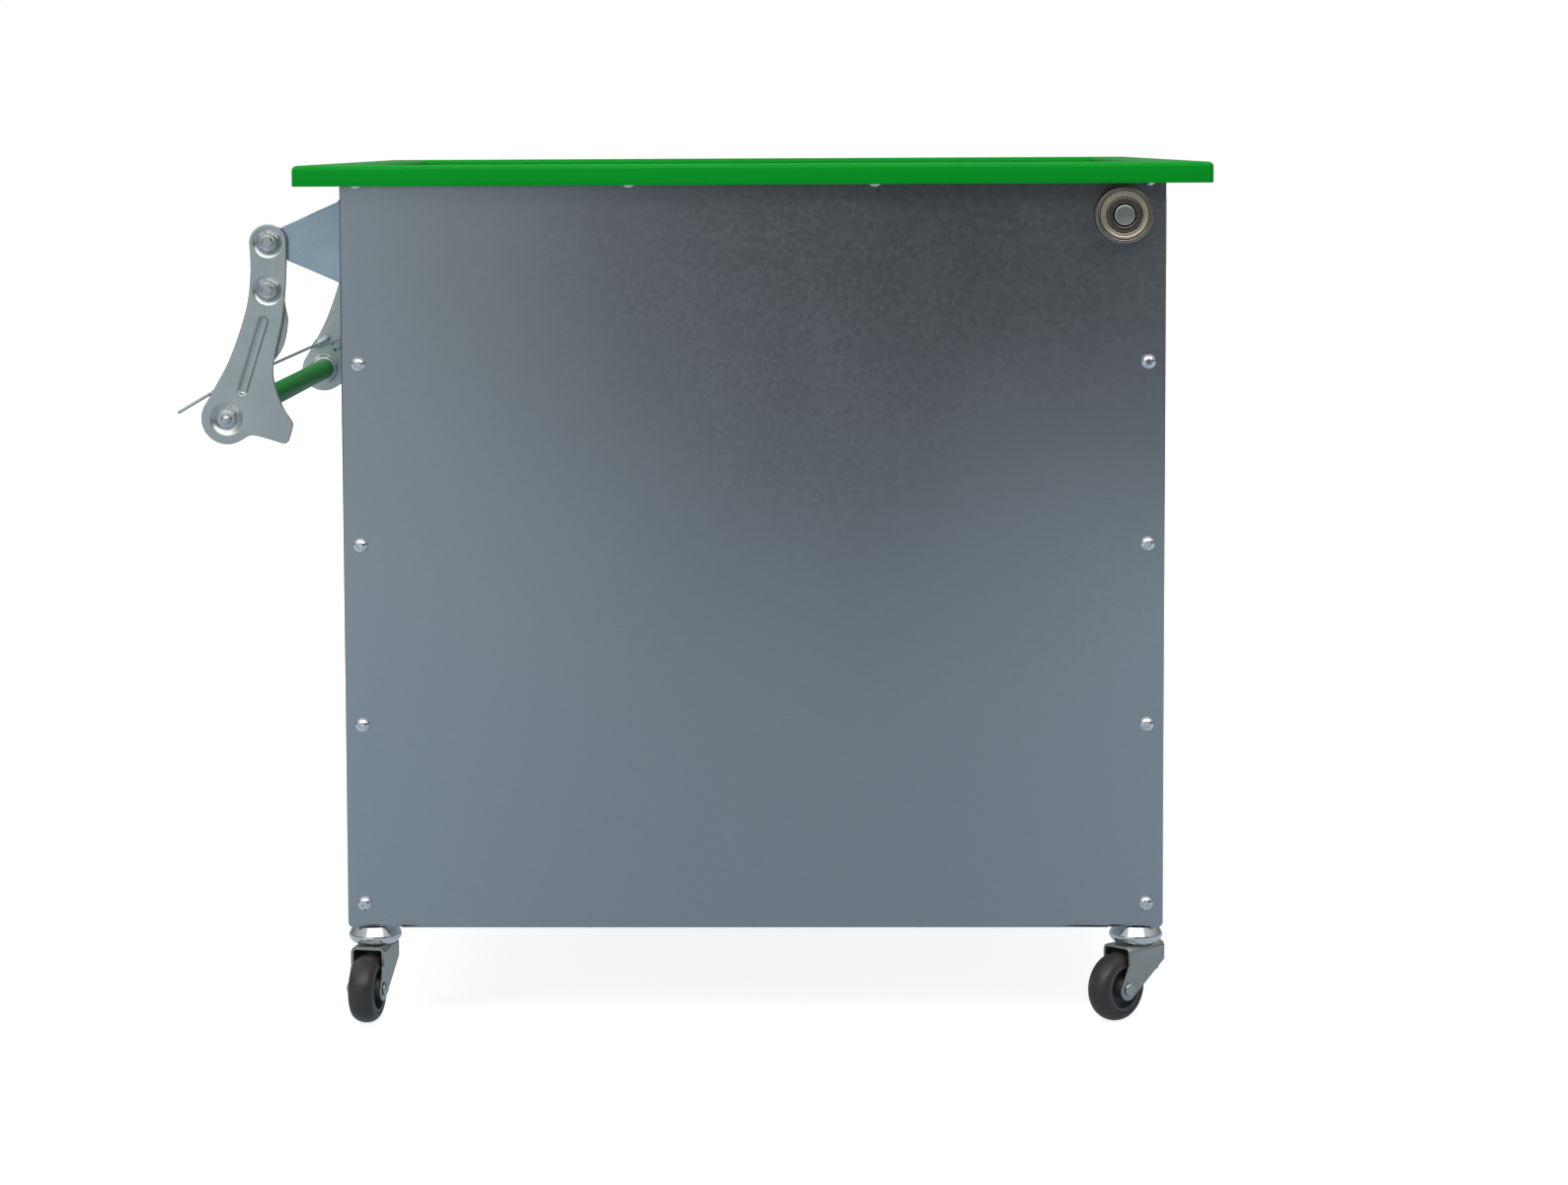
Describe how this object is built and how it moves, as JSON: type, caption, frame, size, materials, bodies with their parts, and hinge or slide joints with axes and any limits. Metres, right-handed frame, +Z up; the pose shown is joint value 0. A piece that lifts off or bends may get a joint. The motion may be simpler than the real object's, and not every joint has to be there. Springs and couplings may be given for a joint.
{
  "type": "wheeled collecting bin",
  "caption": "Open-top galvanised sheet-steel collecting bin on swivel castors, with a green painted rim, ball-bearing guide rollers and a swinging handle with a squeeze latch.",
  "frame": {"origin": "on the floor under the centre of the bounding box, handle included", "axes": "+X along the front to the right, away from the handle; +Y to the back; +Z up"},
  "size_m": [0.7551, 0.66, 0.63],
  "materials": {
    "galvanised_sheet": "satin hot-dip galvanised sheet",
    "green_paint": "glossy green powder coat",
    "zinc_plated_steel": "bright zinc plate",
    "bright_steel": "polished",
    "pressed_fork_steel": "dull zinc plate",
    "tyre_rubber": "matt rubber",
    "hub_plastic": "moulded plastic"
  },
  "bodies": {
    "bin": {"near_panel": "galvanised_sheet", "far_panel": "galvanised_sheet", "left_wall": "galvanised_sheet", "right_wall": "galvanised_sheet", "floor_sheet": "galvanised_sheet", "rim_near": "green_paint", "rim_right": "green_paint", "rim_far": "green_paint", "rim_left": "green_paint", "roller_near_shaft": "zinc_plated_steel", "bearing_near_inner_ring": "bright_steel", "handle_bracket_near": "zinc_plated_steel", "pivot_bolt_near": "zinc_plated_steel", "pivot_nut_near": "bright_steel", "roller_far_shaft": "zinc_plated_steel", "bearing_far_inner_ring": "bright_steel", "handle_bracket_far": "zinc_plated_steel", "pivot_bolt_far": "zinc_plated_steel", "pivot_nut_far": "bright_steel", "castor_front_left_head": "bright_steel", "castor_front_left_bolt": "zinc_plated_steel", "castor_front_right_head": "bright_steel", "castor_front_right_bolt": "zinc_plated_steel", "castor_rear_left_head": "bright_steel", "castor_rear_left_bolt": "zinc_plated_steel", "castor_rear_right_head": "bright_steel", "castor_rear_right_bolt": "zinc_plated_steel"},
    "handle": {"handle_tube": "green_paint", "handle_grip_bolt": "bright_steel", "handle_cap_nut": "bright_steel", "handle_arm_near": "zinc_plated_steel", "latch_bolt_near": "zinc_plated_steel", "latch_nut_near": "bright_steel", "handle_arm_far": "zinc_plated_steel", "latch_bolt_far": "zinc_plated_steel", "latch_nut_far": "bright_steel"},
    "latch": {"trigger_wire": "zinc_plated_steel", "wire_sleeve": "bright_steel", "latch_hook_near": "zinc_plated_steel", "latch_hook_far": "zinc_plated_steel"},
    "roller_near": {"bearing_near_outer_ring": "bright_steel"},
    "cage_near": {"bearing_near_ball_cage": "bright_steel"},
    "roller_far": {"bearing_far_outer_ring": "bright_steel"},
    "cage_far": {"bearing_far_ball_cage": "bright_steel"},
    "fork_front_left": {"castor_front_left_fork": "pressed_fork_steel", "castor_front_left_axle": "zinc_plated_steel"},
    "wheel_front_left": {"castor_front_left_hub": "hub_plastic", "castor_front_left_tyre": "tyre_rubber"},
    "fork_front_right": {"castor_front_right_fork": "pressed_fork_steel", "castor_front_right_axle": "zinc_plated_steel"},
    "wheel_front_right": {"castor_front_right_hub": "hub_plastic", "castor_front_right_tyre": "tyre_rubber"},
    "fork_rear_left": {"castor_rear_left_fork": "pressed_fork_steel", "castor_rear_left_axle": "zinc_plated_steel"},
    "wheel_rear_left": {"castor_rear_left_hub": "hub_plastic", "castor_rear_left_tyre": "tyre_rubber"},
    "fork_rear_right": {"castor_rear_right_fork": "pressed_fork_steel", "castor_rear_right_axle": "zinc_plated_steel"},
    "wheel_rear_right": {"castor_rear_right_hub": "hub_plastic", "castor_rear_right_tyre": "tyre_rubber"}
  },
  "joints": [
    {"name": "handle_swing", "type": "hinge", "parent": "bin", "child": "handle", "pos_m": [-0.30695, 0, 0.5735], "axis": [0, 1, 0], "range_deg": [-14, 110]},
    {"name": "latch_squeeze", "type": "hinge", "parent": "handle", "child": "latch", "pos_m": [-0.30735, 0, 0.5388], "axis": [0, -1, 0], "range_deg": [0, 7], "stiffness_Nm_per_rad": 0.3, "springref_deg": -17.19},
    {"name": "roller_near_spin", "type": "hinge", "parent": "bin", "child": "roller_near", "pos_m": [0.31505, -0.314, 0.592], "axis": [0, 1, 0], "continuous": true},
    {"name": "cage_near_spin", "type": "hinge", "parent": "bin", "child": "cage_near", "pos_m": [0.31505, -0.314, 0.592], "axis": [0, 1, 0], "continuous": true},
    {"name": "roller_far_spin", "type": "hinge", "parent": "bin", "child": "roller_far", "pos_m": [0.31505, 0.314, 0.592], "axis": [0, 1, 0], "continuous": true},
    {"name": "cage_far_spin", "type": "hinge", "parent": "bin", "child": "cage_far", "pos_m": [0.31505, 0.314, 0.592], "axis": [0, 1, 0], "continuous": true},
    {"name": "castor_front_left_swivel", "type": "hinge", "parent": "bin", "child": "fork_front_left", "pos_m": [-0.23395, -0.2815, 0.055], "axis": [0, 0, 1], "continuous": true},
    {"name": "castor_front_left_roll", "type": "hinge", "parent": "fork_front_left", "child": "wheel_front_left", "pos_m": [-0.23777, -0.30317, 0.025], "axis": [0.9848, -0.1736, 0], "continuous": true},
    {"name": "castor_front_right_swivel", "type": "hinge", "parent": "bin", "child": "fork_front_right", "pos_m": [0.32905, -0.2815, 0.055], "axis": [0, 0, 1], "continuous": true},
    {"name": "castor_front_right_roll", "type": "hinge", "parent": "fork_front_right", "child": "wheel_front_right", "pos_m": [0.31322, -0.29678, 0.025], "axis": [0.6947, -0.7193, 0], "continuous": true},
    {"name": "castor_rear_left_swivel", "type": "hinge", "parent": "bin", "child": "fork_rear_left", "pos_m": [-0.23395, 0.2815, 0.055], "axis": [0, 0, 1], "continuous": true},
    {"name": "castor_rear_left_roll", "type": "hinge", "parent": "fork_rear_left", "child": "wheel_rear_left", "pos_m": [-0.225, 0.2614, 0.025], "axis": [0.9135, 0.4067, 0], "continuous": true},
    {"name": "castor_rear_right_swivel", "type": "hinge", "parent": "bin", "child": "fork_rear_right", "pos_m": [0.32905, 0.2815, 0.055], "axis": [0, 0, 1], "continuous": true},
    {"name": "castor_rear_right_roll", "type": "hinge", "parent": "fork_rear_right", "child": "wheel_rear_right", "pos_m": [0.32153, 0.26083, 0.025], "axis": [0.9397, -0.342, 0], "continuous": true}
  ],
  "couplings": [
    {"joint": "cage_near_spin", "follows": "roller_near_spin", "ratio": 0.6123},
    {"joint": "cage_far_spin", "follows": "roller_far_spin", "ratio": 0.6123}
  ]
}
